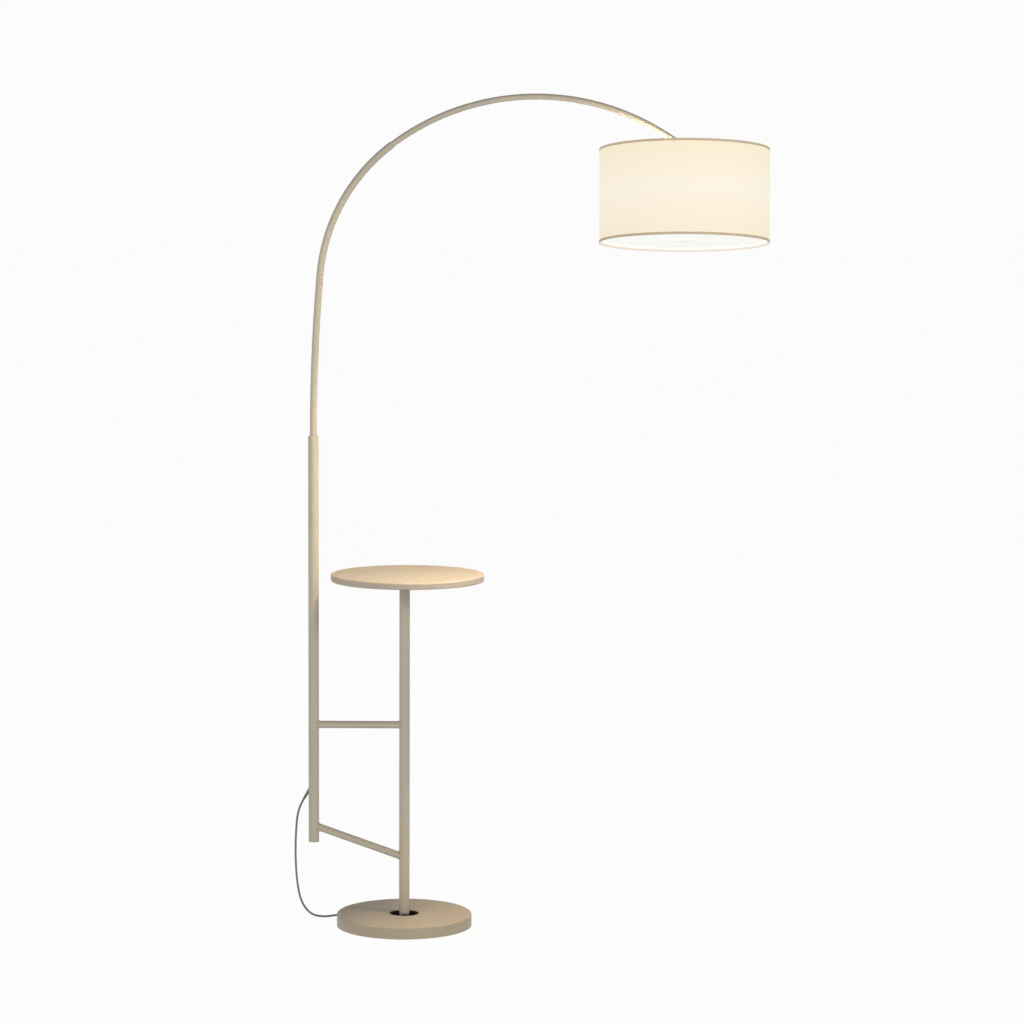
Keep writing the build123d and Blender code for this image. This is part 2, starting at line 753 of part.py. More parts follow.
# Least gap between turns, measured on points of the path that are more than a fold apart along it
sample_count = 700
sample_step = hank_path.length / sample_count
samples = [tuple(hank_path @ (i / sample_count)) for i in range(sample_count + 1)]
apart = int(2 * hank_fold / sample_step)
least_gap = min(
    dist(samples[i], samples[j]) for i in range(sample_count) for j in range(i + apart, sample_count + 1)
) - lead_diameter
print("hank length", round(hank_path.length, 1), "least gap", round(least_gap, 2))

# Tie round the waist of the hank
tie_half = hank_outer - hank_waist + lead_diameter / 2 + tie_gap
tie_low = bottom_layer - lead_diameter / 2 - tie_gap
tie_high = top_layer + lead_diameter / 2 + tie_gap
tie_width_inside = 2 * tie_half
tie_height_inside = tie_high - tie_low
tie_face = RectangleRounded(
    tie_width_inside + 2 * tie_thickness,
    tie_height_inside + 2 * tie_thickness,
    lead_diameter / 2,
)
tie_face -= RectangleRounded(tie_width_inside, tie_height_inside, lead_diameter / 2 - tie_thickness)
tie_plane = Plane((0, 0, (tie_low + tie_high) / 2), x_dir=(0, 1, 0), z_dir=(1, 0, 0))
keep("cord_tie", hank_plane * extrude(tie_plane * tie_face, tie_width / 2, both=True))

# Free stretches of the lead: from the boot to the hank, and from the hank to the plug
hank_entry = hank_plane.from_local_coords(Vector(*hank_start))
hank_exit = hank_plane.from_local_coords(Vector(*hank_end) + Vector(press_gap, 0, 0))
before_hank = hank_plane.from_local_coords(Vector(*hank_start) - Vector(hank_lead_in, 0, 0))
mains_points = [boot_end, boot_end + boot_way * boot_run, *hanging_points, before_hank, hank_entry]
keep("mains_lead", bar(eased_path(mains_points), lead_diameter))
plug_points = [hank_exit]
for point in tail_points:
    plug_points.append(hank_plane.from_local_coords(Vector(*hank_end) + Vector(*point)))
keep("plug_lead", bar(eased_path(plug_points), lead_diameter))

# Plug, lying flat in line with the end of the lead
plug_way = plug_points[-1] - plug_points[-2]
plug_plane = Plane(plug_points[-1], x_dir=(plug_way.X, plug_way.Y, 0), z_dir=(0, 0, 1))
plug_outline = Polyline(
    (0, -plug_nose / 2),
    (plug_taper, -plug_width / 2),
    (plug_length_body, -plug_width / 2),
    (plug_length_body, plug_width / 2),
    (plug_taper, plug_width / 2),
    (0, plug_nose / 2),
    close=True,
)
plug_body = extrude(make_face(plug_outline), plug_height / 2, both=True)
plug_body = fillet(plug_body.edges().filter_by(Axis.Z), plug_edge)
plug_body = fillet(plug_body.faces().filter_by(Axis.Z).edges(), plug_edge / 2)
grip = Box(plug_grip_width, 2 * plug_grip_depth, plug_height - 2 * plug_edge)
for line in range(plug_grips):
    for side in (-1, 1):
        plug_body -= Pos(plug_taper + plug_grip_pitch * (line + 1), side * plug_width / 2, 0) * grip


# The two blades, or with a gap the slots that hold them
def blades(gap):
    length = blade_root + blade_length + gap
    blade = Box(
        length,
        blade_thickness + 2 * gap,
        blade_width + 2 * gap,
        align=(Align.MIN, Align.CENTER, Align.CENTER),
    )
    place = plug_length_body - blade_root - gap
    return [Pos(place, side * blade_spacing / 2, 0) * blade for side in (-1, 1)]


keep("plug_body", plug_plane * (plug_body - blades(press_gap)))
keep("plug_pins", plug_plane * Compound(blades(0)))

os.makedirs("parts", exist_ok=True)
for name, solid in nodes.items():
    export_step(solid, "parts/" + name + ".step")
print(len(nodes), "pieces")
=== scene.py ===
import json
import math
import bmesh
import bpy
from mathutils import Matrix, Vector

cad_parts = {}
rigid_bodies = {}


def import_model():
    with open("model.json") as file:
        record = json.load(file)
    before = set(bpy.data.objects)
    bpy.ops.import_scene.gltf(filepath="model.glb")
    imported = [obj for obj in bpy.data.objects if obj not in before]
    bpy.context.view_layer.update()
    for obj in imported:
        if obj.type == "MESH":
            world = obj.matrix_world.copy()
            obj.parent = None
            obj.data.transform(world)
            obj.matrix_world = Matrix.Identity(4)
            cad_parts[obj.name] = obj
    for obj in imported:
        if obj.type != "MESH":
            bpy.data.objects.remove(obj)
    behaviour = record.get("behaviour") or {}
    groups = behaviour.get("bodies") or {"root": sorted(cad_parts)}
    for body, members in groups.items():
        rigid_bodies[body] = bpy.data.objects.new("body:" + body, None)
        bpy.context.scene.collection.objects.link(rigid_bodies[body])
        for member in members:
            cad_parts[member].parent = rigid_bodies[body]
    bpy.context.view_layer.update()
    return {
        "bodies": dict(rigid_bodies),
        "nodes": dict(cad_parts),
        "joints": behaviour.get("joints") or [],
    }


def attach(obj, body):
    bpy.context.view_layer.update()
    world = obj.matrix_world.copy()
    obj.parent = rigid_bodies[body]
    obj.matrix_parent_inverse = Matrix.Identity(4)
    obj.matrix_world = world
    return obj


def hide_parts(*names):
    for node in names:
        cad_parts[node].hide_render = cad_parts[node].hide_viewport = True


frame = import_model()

nodes = frame["nodes"]
print("frame loaded:", len(nodes), "solids")


# small helpers for node trees

def newFinish(name):
    finish = bpy.data.materials.new(name)
    finish.use_nodes = True
    tree = finish.node_tree
    return finish, tree, tree.nodes["Principled BSDF"]


def addNode(tree, kind, inputs=None, **settings):
    node = tree.nodes.new(kind)
    for key, value in settings.items():
        setattr(node, key, value)
    for key, value in (inputs or {}).items():
        node.inputs[key].default_value = value
    return node


def ownCoords(tree):  # the piece's own coordinates, in metres
    return addNode(tree, "ShaderNodeTexCoord").outputs["Object"]


def addNoise(tree, coords, scale, detail=3.0, rough=0.55):
    noise = addNode(tree, "ShaderNodeTexNoise", {"Scale": scale, "Detail": detail, "Roughness": rough})
    tree.links.new(coords, noise.inputs["Vector"])
    return noise.outputs["Fac"]


def addRange(tree, value, low, high, fromLow=0.3, fromHigh=0.7):  # noise lies mostly between 0.3 and 0.7
    limits = {"From Min": fromLow, "From Max": fromHigh, "To Min": low, "To Max": high}
    span = addNode(tree, "ShaderNodeMapRange", limits)
    tree.links.new(value, span.inputs["Value"])
    return span.outputs["Result"]


def addMath(tree, operation, first, second=None):
    node = addNode(tree, "ShaderNodeMath", operation=operation)
    for socket, value in zip(node.inputs, (first, second)):
        if isinstance(value, float):
            socket.default_value = value
        elif value is not None:
            tree.links.new(value, socket)
    return node.outputs[0]


def addMix(tree, factor, first, second):  # between two fixed colours
    mix = addNode(tree, "ShaderNodeMix", data_type="RGBA")
    mix.inputs["A"].default_value = (*first, 1)
    mix.inputs["B"].default_value = (*second, 1)
    tree.links.new(factor, mix.inputs["Factor"])
    return mix.outputs["Result"]


def addTone(tree, factor, colour, dark, light):  # between two strengths of one colour
    low = [channel * dark for channel in colour]
    high = [channel * light for channel in colour]
    return addMix(tree, factor, low, high)


def addTint(tree, first, second):  # one colour multiplied by another
    mix = addNode(tree, "ShaderNodeMix", data_type="RGBA", blend_type="MULTIPLY")
    mix.inputs["Factor"].default_value = 1.0
    tree.links.new(first, mix.inputs["A"])
    tree.links.new(second, mix.inputs["B"])
    return mix.outputs["Result"]


def addRough(tree, shader, value, look):  # roughness that wanders to both sides of its middle
    rough = addRange(tree, value, look["rough"] - look["roughSpread"], look["rough"] + look["roughSpread"])
    tree.links.new(rough, shader.inputs["Roughness"])


def addBump(tree, shader, height, distance, strength=1.0, under=None):
    bump = addNode(tree, "ShaderNodeBump", {"Distance": distance, "Strength": strength})
    tree.links.new(height, bump.inputs["Height"])
    if under is not None:
        tree.links.new(under.outputs["Normal"], bump.inputs["Normal"])
    tree.links.new(bump.outputs["Normal"], shader.inputs["Normal"])
    return bump


finishes = {}

# satin paint with a fine spray grain and a faint uneven tone
paintLook = {
    "colour": (0.475, 0.422, 0.329), "toneScale": 9, "toneSpread": 0.03, "rough": 0.42, "roughSpread": 0.05,
    "cloudScale": 60, "peelScale": 900, "peelDepth": 0.00002, "specular": 0.4,
}
# painted shade: the base's upright faces are darkened by a fixed factor against its top
baseLook = {**paintLook, "colour": (0.505, 0.42, 0.302), "paintedSideShade": 0.81, "toneScale": 5, "toneSpread": 0.04}
tableLook = {**paintLook, "colour": (0.448, 0.388, 0.303), "toneScale": 6, "rough": 0.5, "peelScale": 600}
wireLook = {
    **paintLook, "colour": (0.86, 0.83, 0.77), "rough": 0.35, "peelScale": 1500,
    "glow": 0.25, "glowColour": (1.0, 0.95, 0.86),
}


def makePaint(name, look):
    finish, tree, shader = newFinish(name)
    coords = ownCoords(tree)
    tone = addRange(tree, addNoise(tree, coords, look["toneScale"], 4), 0, 1)
    colour = addTone(tree, tone, look["colour"], 1 - look["toneSpread"], 1 + look["toneSpread"])
    if "paintedSideShade" in look:  # painted shade: upright faces are drawn darker than the top, standing in for the weaker light that falls on them
        facing = addNode(tree, "ShaderNodeSeparateXYZ")
        tree.links.new(addNode(tree, "ShaderNodeTexCoord").outputs["Normal"], facing.inputs["Vector"])
        upwards = addRange(tree, facing.outputs["Z"], 0, 1, 0.2, 0.8)
        colour = addTint(tree, colour, addMix(tree, upwards, [look["paintedSideShade"]] * 3, (1, 1, 1)))
    tree.links.new(colour, shader.inputs["Base Color"])
    if "glow" in look:  # lit by the bulb close by
        shader.inputs["Emission Color"].default_value = (*look["glowColour"], 1)
        shader.inputs["Emission Strength"].default_value = look["glow"]
    addRough(tree, shader, addNoise(tree, coords, look["cloudScale"], 2), look)
    peel = addBump(tree, shader, addNoise(tree, coords, look["peelScale"], 2), look["peelDepth"], 0.5)
    grain = addNoise(tree, coords, look["peelScale"] * 4, 1)
    addBump(tree, shader, grain, look["peelDepth"] / 3, 0.4, peel)
    shader.inputs["Specular IOR Level"].default_value = look["specular"]
    return finish


finishes["paint"] = makePaint("framePaint", paintLook)
finishes["basePaint"] = makePaint("basePaint", baseLook)
finishes["tablePaint"] = makePaint("tablePaint", tableLook)
finishes["wire"] = makePaint("wireCoat", wireLook)

# moulded plastic with a spark-eroded texture
mouldLook = {
    "toneScale": 90, "dark": 0.95, "light": 1.04, "roughScale": 400, "roughSpread": 0.06,
    "grainDepth": 0.00003,
}
bushLook = {**mouldLook, "colour": (0.465, 0.405, 0.31), "rough": 0.5, "grainScale": 2500}
blackLook = {
    **mouldLook, "colour": (0.012, 0.011, 0.010), "rough": 0.55, "grainScale": 2000, "grainDepth": 0.00004,
}
whiteLook = {
    **mouldLook, "colour": (0.80, 0.79, 0.75), "rough": 0.38, "grainScale": 2600, "grainDepth": 0.00002,
}
leadLook = {**mouldLook, "colour": (0.19, 0.18, 0.155), "rough": 0.46, "grainScale": 3000}


def makeMoulded(name, look):
    finish, tree, shader = newFinish(name)
    coords = ownCoords(tree)
    tone = addRange(tree, addNoise(tree, coords, look["toneScale"]), 0, 1)
    colour = addTone(tree, tone, look["colour"], look["dark"], look["light"])
    tree.links.new(colour, shader.inputs["Base Color"])
    grain = addNode(tree, "ShaderNodeTexVoronoi", {"Scale": look["grainScale"]})
    tree.links.new(coords, grain.inputs["Vector"])
    addRough(tree, shader, addNoise(tree, coords, look["roughScale"], 2), look)
    addBump(tree, shader, grain.outputs["Distance"], look["grainDepth"], 0.4)
    return finish


finishes["bush"] = makeMoulded("bushPlastic", bushLook)
finishes["black"] = makeMoulded("blackPlastic", blackLook)
finishes["white"] = makeMoulded("whitePlastic", whiteLook)
finishes["lead"] = makeMoulded("leadSheath", leadLook)

# bright metal with turning marks round the Z axis of its own piece
steelLook = {
    "colour": (0.66, 0.65, 0.62), "dark": 0.86, "rough": (0.19, 0.36), "stretch": (1, 1, 30),
    "markScale": 60, "markDepth": 0.00003,
}


def makePlated(name, look):
    finish, tree, shader = newFinish(name)
    stretch = addNode(tree, "ShaderNodeMapping", {"Scale": look["stretch"]})
    tree.links.new(ownCoords(tree), stretch.inputs["Vector"])
    marks = addNoise(tree, stretch.outputs["Vector"], look["markScale"])
    colour = addTone(tree, addRange(tree, marks, 0, 1), look["colour"], look["dark"], 1)
    tree.links.new(colour, shader.inputs["Base Color"])
    tree.links.new(addRange(tree, marks, *look["rough"]), shader.inputs["Roughness"])
    shader.inputs["Metallic"].default_value = 1.0
    addBump(tree, shader, marks, look["markDepth"], 0.35)
    return finish


finishes["steel"] = makePlated("platedSteel", steelLook)

# rough casting under the cover
ironLook = {
    "colour": (0.09, 0.088, 0.085), "rust": (0.12, 0.09, 0.07), "rustScale": 35, "metal": 0.4,
    "sandScale": 900, "sandDepth": 0.0004, "rough": (0.6, 0.85),
}


def makeCasting(name, look):
    finish, tree, shader = newFinish(name)
    coords = ownCoords(tree)
    sand = addNoise(tree, coords, look["sandScale"], 4, 0.7)
    rusty = addRange(tree, addNoise(tree, coords, look["rustScale"], 4), 0, 1)
    tree.links.new(addMix(tree, rusty, look["colour"], look["rust"]), shader.inputs["Base Color"])
    shader.inputs["Metallic"].default_value = look["metal"]
    tree.links.new(addRange(tree, sand, *look["rough"]), shader.inputs["Roughness"])
    addBump(tree, shader, sand, look["sandDepth"], 0.8)
    return finish


finishes["iron"] = makeCasting("ironCasting", ironLook)

# pressed wool felt, and the soft strap of the tie
feltLook = {
    "colour": (0.045, 0.043, 0.042), "dark": 0.6, "light": 1.5, "rough": (0.85, 1.0), "sheen": 0.4,
    "fuzzScale": 1400, "fuzzDepth": 0.0006,
}
strapLook = {**feltLook, "colour": (0.03, 0.03, 0.032)}


def makeFelt(name, look):
    finish, tree, shader = newFinish(name)
    fuzz = addNoise(tree, ownCoords(tree), look["fuzzScale"], 6, 0.75)
    colour = addTone(tree, addRange(tree, fuzz, 0, 1), look["colour"], look["dark"], look["light"])
    tree.links.new(colour, shader.inputs["Base Color"])
    tree.links.new(addRange(tree, fuzz, *look["rough"]), shader.inputs["Roughness"])
    shader.inputs["Sheen Weight"].default_value = look["sheen"]
    addBump(tree, shader, fuzz, look["fuzzDepth"], 0.9)
    return finish


finishes["felt"] = makeFelt("padFelt", feltLook)
finishes["strap"] = makeFelt("tieStrap", strapLook)

# plain weave from the piece's own UVs, which are in metres, glowing with the light behind it
weaveLook = {
    "rough": 0.9, "threadDepth": 0.22, "wobble": 0.35, "wobbleScale": 220,
    "slubLength": 40.0, "slubDepth": 0.0003, "slubTint": (0.965, 0.96, 0.95),
}
clothLook = {
    **weaveLook, "colour": (0.24, 0.215, 0.175), "spread": 0.05, "sheen": 0.1,
    "pitch": 0.0011, "slubScale": 60, "height": 0.1756, "glow": 0.81,
    "glowStops": [  # from the bottom to the top: brightest level with the bulb, yellower towards both ends
        (0.0, (0.96, 0.84, 0.65)), (0.18, (0.965, 0.87, 0.70)), (0.5, (0.985, 0.91, 0.775)),
        (0.82, (0.965, 0.87, 0.69)), (1.0, (0.955, 0.84, 0.62)),
    ],
}
tapeLook = {
    **weaveLook, "colour": (0.57, 0.455, 0.32), "spread": 0.10, "sheen": 0.2,
    "pitch": 0.0007, "slubScale": 90, "height": 0.0045, "glow": 0.10,
    "glowStops": [(0.0, (1.0, 0.78, 0.5)), (1.0, (1.0, 0.78, 0.5))],
}


def makeWeave(name, look):
    finish, tree, shader = newFinish(name)
    uv = addNode(tree, "ShaderNodeTexCoord").outputs["UV"]
    split = addNode(tree, "ShaderNodeSeparateXYZ")
    tree.links.new(uv, split.inputs["Vector"])
    wobble = addRange(tree, addNoise(tree, uv, look["wobbleScale"], 2), -look["wobble"], look["wobble"], 0, 1)

    def thread(axis):  # one set of threads, as a wave across the given direction
        turns = addMath(tree, "MULTIPLY", split.outputs[axis], 2 * math.pi / look["pitch"])
        return addMath(tree, "SINE", addMath(tree, "ADD", turns, wobble))

    def slub(*stretch):  # thick and thin places along one set of threads
        drawn = addNode(tree, "ShaderNodeMapping", {"Scale": stretch})
        tree.links.new(uv, drawn.inputs["Vector"])
        return addNoise(tree, drawn.outputs["Vector"], look["slubScale"], 2)

    weave = addMath(tree, "MULTIPLY", thread("X"), thread("Y"))
    slubs = addMath(tree, "ADD", slub(1.0, look["slubLength"], 1.0), slub(look["slubLength"], 1.0, 1.0))
    tone = addRange(tree, slubs, 0, 1, 0.75, 1.25)
    colour = addTone(tree, tone, look["colour"], 1 - look["spread"], 1 + look["spread"] / 2)
    tree.links.new(colour, shader.inputs["Base Color"])
    shader.inputs["Roughness"].default_value = look["rough"]
    shader.inputs["Sheen Weight"].default_value = look["sheen"]
    threads = addBump(tree, shader, weave, look["pitch"] * look["threadDepth"], 0.6)
    addBump(tree, shader, slubs, look["slubDepth"], 0.4, threads)

    ramp = addNode(tree, "ShaderNodeValToRGB")
    stops = ramp.color_ramp.elements
    for place, warmth in look["glowStops"][1:-1]:
        stops.new(place).color = (*warmth, 1)
    stops[0].color = (*look["glowStops"][0][1], 1)
    stops[-1].color = (*look["glowStops"][-1][1], 1)
    tree.links.new(addRange(tree, split.outputs["Y"], 0, 1, 0, look["height"]), ramp.inputs["Fac"])
    lines = addMix(tree, tone, look["slubTint"], (1, 1, 1))  # the slubs show as fine lines against the light
    tree.links.new(addTint(tree, ramp.outputs["Color"], lines), shader.inputs["Emission Color"])
    shader.inputs["Emission Strength"].default_value = look["glow"]
    return finish


finishes["cloth"] = makeWeave("shadeLinen", clothLook)
finishes["tape"] = makeWeave("shadeTape", tapeLook)

# opal acrylic and glass, lit from behind
opalLook = {
    "dark": 0.97, "cloudScale": 14, "rough": 0.35, "roughSpread": 0.05, "roughScale": 300,
    "grainScale": 1200, "grainDepth": 0.00004,
}
globeLook = {**opalLook, "colour": (0.9, 0.88, 0.82), "light": (1.0, 0.86, 0.66), "glow": 3.5, "rough": 0.3}
diffuserLook = {**opalLook, "colour": (0.80, 0.80, 0.77), "light": (0.97, 1.0, 0.93), "glow": 0.45}
knobLook = {**opalLook, "colour": (0.72, 0.71, 0.67), "light": (1.0, 0.98, 0.91), "glow": 0.44}


def makeOpal(name, look):
    finish, tree, shader = newFinish(name)
    coords = ownCoords(tree)
    cloud = addRange(tree, addNoise(tree, coords, look["cloudScale"]), 0, 1)
    for socket, colour in (("Base Color", look["colour"]), ("Emission Color", look["light"])):
        tree.links.new(addTone(tree, cloud, colour, look["dark"], 1), shader.inputs[socket])
    shader.inputs["Emission Strength"].default_value = look["glow"]
    addRough(tree, shader, addNoise(tree, coords, look["roughScale"], 2), look)
    addBump(tree, shader, addNoise(tree, coords, look["grainScale"], 2), look["grainDepth"], 0.4)
    return finish


finishes["globe"] = makeOpal("globeOpal", globeLook)
finishes["opal"] = makeOpal("diffuserOpal", diffuserLook)
finishes["knob"] = makeOpal("knobOpal", knobLook)
print("finishes made:", len(finishes))


def dress(finishName, *names):  # a CAD solid keeps its shape and gets a finish
    for name in names:
        solid = nodes[name]
        solid.data.materials.clear()
        solid.data.materials.append(finishes[finishName])


dress("paint", "lamp_pole", "table_post", "upper_rung", "lower_rung", "lower_arc", "upper_arc",
      "table_flange", "arm_elbow", "swivel_upper", "swivel_lower", "post_foot_plug", "pole_end_cap")
dress("basePaint", "base_cover")
dress("tablePaint", "table_top")
dress("bush", "pole_top_bush", "pole_lower_bush", "swivel_washer")
dress("iron", "base_weight")
dress("black", "recess_cup")
dress("steel", "foot_nut", "foot_washer", "swivel_nut", "plug_pins", "holder_nipple", "bulb_cap")
dress("white", "holder_cap", "holder_body", "holder_ring", "holder_insert", "switch_bar", "bulb_housing",
      "diffuser_nut")
dress("globe", "bulb_globe")
dress("wire", "shade_spider", "shade_top_ring", "shade_bottom_ring")
dress("opal", "diffuser_panel")
dress("knob", "diffuser_knob")
dress("lead", "cord_boot", "plug_body", "pole_lead", "arm_lead", "head_lead")


def makePiece(name, mesh, body, finishName):
    piece = bpy.data.objects.new(name, mesh)
    bpy.context.scene.collection.objects.link(piece)
    piece.data.materials.append(finishes[finishName])
    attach(piece, body)
    return piece


sharpAngle = math.radians(38)  # edges that turn by more than this stay sharp


def smoothMesh(mesh):
    work = bmesh.new()
    work.from_mesh(mesh)
    bmesh.ops.recalc_face_normals(work, faces=work.faces)
    work.to_mesh(mesh)
    work.free()
    mesh.shade_smooth()
    mesh.set_sharp_from_angle(angle=sharpAngle)


# a band of cross-sections that follow each other; spans holds the UV pair of each strip across, in metres
def bandMesh(name, sections, along, spans, closed=True):
    count, around = len(sections), len(sections[0])
    faces, corners = [], []
    for i in range(count if closed else count - 1):
        here, ahead = i * around, (i + 1) % count * around
        for j, (first, last) in enumerate(spans):
            beside = (j + 1) % around
            faces.append((here + j, ahead + j, ahead + beside, here + beside))
            corners += [(along[i], first), (along[i + 1], first), (along[i + 1], last), (along[i], last)]
    if not closed:
        faces += [tuple(range(around)), tuple(reversed(range((count - 1) * around, count * around)))]
        corners += [(0, 0)] * (2 * around)
    mesh = bpy.data.meshes.new(name)
    mesh.from_pydata([point for section in sections for point in section], [], faces)
    layer = mesh.uv_layers.new(name="cut")
    for loop, corner in zip(layer.data, corners):
        loop.uv = corner
    smoothMesh(mesh)
    return mesh


# rings of points about the Z axis, from one end to the other; a radius may depend on the angle
def turnedMesh(name, rings, count, place):
    points = []
    for height, radius in rings:
        for step in range(count):
            angle = 2 * math.pi * step / count
            reach = radius(angle) if callable(radius) else radius
            points.append(place @ Vector((reach * math.cos(angle), reach * math.sin(angle), height)))
    faces = [tuple(range(count)), tuple(range((len(rings) - 1) * count, len(rings) * count))]
    for ring in range(len(rings) - 1):
        low, high = ring * count, (ring + 1) * count
        for step in range(count):
            beside = (step + 1) % count
            faces.append((low + step, low + beside, high + beside, high + step))
    mesh = bpy.data.meshes.new(name)
    mesh.from_pydata(points, [], faces)
    smoothMesh(mesh)
    return mesh


def summed(points, closed=True):  # distances along a line of points, from 0
    ends = points[1:] + points[:1] if closed else points[1:]
    along = [0.0]
    for point, following in zip(points, ends):
        along.append(along[-1] + (Vector(following) - Vector(point)).length)
    return along


def strips(section):  # UV pair of each strip round a closed section
    across = summed(section)
    return list(zip(across, across[1:]))


# a rod's rings with a V thread between two heights; its crests are a little flattened
def threadRings(low, high, outer, root, pitch, steps=8):
    rings = []
    for row in range(int((high - low) / pitch * steps) + 1):
        height = low + row * pitch / steps

        def reach(angle, height=height):
            phase = (height / pitch - angle / (2 * math.pi)) % 1
            return root + (outer - root) * min(1, 1.25 * abs(2 * phase - 1))

        rings.append((height, reach))
    return rings


def hexagon(flats):  # radius of a hexagon at an angle
    return lambda angle: flats / 2 / math.cos((angle % (math.pi / 3)) - math.pi / 6)


def cross(width, length):  # radius of a cross at an angle
    def reach(angle):
        turn = abs((angle + math.pi / 4) % (math.pi / 2) - math.pi / 4)
        return min(length / math.cos(turn), width / max(math.sin(turn), 1e-6))
    return reach


restTilt = -7.5  # degrees; turns the underside of the drum towards the camera
headJoint = [joint for joint in frame["joints"] if joint["name"] == "head_tilt"][0]
pivot = Vector(headJoint["pos_m"])
headPlace = Matrix.Translation(pivot) @ Matrix.Rotation(math.radians(restTilt), 4, "X")

# drum of the shade: linen on a stiff backing, lapped and glued at the back, bound at both ends
shade = {
    "radius": 0.1595, "thickness": 0.0008, "bottom": -0.1515, "height": 0.1756, "columns": 240, "rows": 10,
    "seam": 97, "lap": 0.010, "lapRise": 0.00042, "lapRamp": 0.003, "cutEdge": 0.0004, "ripple": 0.00012,
    "trim": 0.004, "tape": 0.0005, "tapeWander": 0.00012, "gap": 0.00005,
}


def shadeAngles():
    angles = [2 * math.pi * step / shade["columns"] for step in range(shade["columns"])]
    seam = math.radians(shade["seam"])
    for edge in (-shade["lapRamp"], 0, shade["lap"], shade["lap"] + shade["cutEdge"]):
        angles.append(seam + edge / shade["radius"])
    return sorted(angles)


def roundDrum(angles):  # distances round the drum, once all the way
    return [angle * shade["radius"] for angle in angles + [angles[0] + 2 * math.pi]]


def lapRise(angle):  # how far the overlap stands out, with its cut edge on one side
    place = (angle - math.radians(shade["seam"])) * shade["radius"]
    if place < -shade["lapRamp"] or place >= shade["lap"] + shade["cutEdge"] * 0.99:
        return 0
    return shade["lapRise"] * min(1, 1 + place / shade["lapRamp"])


def onDrum(angle, reach, height):
    return headPlace @ Vector((reach * math.cos(angle), reach * math.sin(angle), height))


def makeDrum():
    angles = shadeAngles()
    heights = [shade["height"] * row / shade["rows"] for row in range(shade["rows"] + 1)]
    sections = []
    for angle in angles:
        outer, inner = [], []
        for height in heights:
            level = height / shade["height"]
            waves = math.sin(5 * angle + 1) + math.sin(9 * angle + 4 * level)
            reach = shade["radius"] + math.sin(math.pi * level) * shade["ripple"] * waves
            outer.append(onDrum(angle, reach + lapRise(angle), shade["bottom"] + height))
            inner.append(onDrum(angle, reach - shade["thickness"], shade["bottom"] + height))
        sections.append(outer + inner[::-1])
    up = list(zip(heights, heights[1:]))
    down = [(last, first) for first, last in up[::-1]]
    edge = shade["thickness"]
    spans = up + [(shade["height"], shade["height"] - edge)] + down + [(0, edge)]
    mesh = bandMesh("shadeCloth", sections, roundDrum(angles), spans)
    drum = makePiece("shadeCloth", mesh, "head", "cloth")
    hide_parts("shade_fabric")
    return drum


# tape folded over one end; way is 1 at the top and -1 at the bottom
def makeTrim(name, node, end, way):
    angles = shadeAngles()
    tape, gap = shade["tape"], shade["gap"]
    inside = shade["radius"] - shade["thickness"]
    sections = []
    for angle in angles:
        under = shade["radius"] + gap + lapRise(angle)
        over = under + tape
        edge = shade["tapeWander"] * (math.sin(23 * angle) + math.sin(41 * angle + 1)) - shade["trim"]
        profile = [
            (under, edge), (over - tape / 3, edge), (over, edge + tape / 2), (over, -gap),
            (over - tape / 3, tape * 0.7), (under - tape / 2, tape + gap), (inside + tape / 3, tape + gap),
            (inside, tape / 2), (inside + tape / 3, gap), (under, gap),
        ]
        sections.append([onDrum(angle, reach, end + way * height) for reach, height in profile])
    mesh = bandMesh(name, sections, roundDrum(angles), strips(sections[0]))
    trim = makePiece(name, mesh, "head", "tape")
    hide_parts(node)
    return trim


shadeCloth = makeDrum()
shadeTrims = [
    makeTrim("shadeTopTape", "shade_top_trim", shade["bottom"] + shade["height"], 1),
    makeTrim("shadeBottomTape", "shade_bottom_trim", shade["bottom"], -1),
]
print("shade covered")

# felt under the base, a little uneven and soft at its edges
pad = {
    "inner": 0.0125, "outer": 0.1221, "thickness": 0.002, "round": 0.0007, "columns": 180, "rows": 14,
    "ragged": 0.00025, "dent": 0.00012, "glueGap": 0.00003,
}


def makePad():
    soft, thickness = pad["round"], pad["thickness"]
    sections = []
    for step in range(pad["columns"]):
        angle = 2 * math.pi * step / pad["columns"]
        ragged = pad["ragged"] * (math.sin(17 * angle) + math.sin(37 * angle + 2))
        outer, inner = pad["outer"] + ragged, pad["inner"] + ragged / 2
        top, low = [], []
        for row in range(pad["rows"] + 1):
            across = row / pad["rows"]
            reach = inner + soft + (outer - inner - 2 * soft) * across
            dent = pad["dent"] * (1 + math.sin(31 * angle + 220 * reach)) * math.sin(math.pi * across)
            top.append((reach, thickness - pad["glueGap"]))
            low.append((reach, dent))
        rim = [(outer, thickness - soft), (outer, soft)]
        hole = [(inner, soft), (inner, thickness - soft)]
        profile = top + rim + low[::-1] + hole
        sections.append([Vector((r * math.cos(angle), r * math.sin(angle), z)) for r, z in profile])
    along = [2 * math.pi * pad["outer"] * step / pad["columns"] for step in range(pad["columns"] + 1)]
    mesh = bandMesh("basePadFelt", sections, along, strips(sections[0]))
    piece = makePiece("basePadFelt", mesh, "stand", "felt")
    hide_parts("base_pad")


makePad()

# weld beads where the rungs meet the uprights, painted over
weld = {"bead": 0.0012, "ripple": 0.00016, "ripples": 34, "steps": 136, "round": 10}
uprights = {"pole": -0.173, "post": 0.0, "radius": 0.010}
# heights of each rung at the pole and at the post
rungs = {"upper": (0.3885, 0.3885), "lower": (0.1935, 0.132), "radius": 0.007}


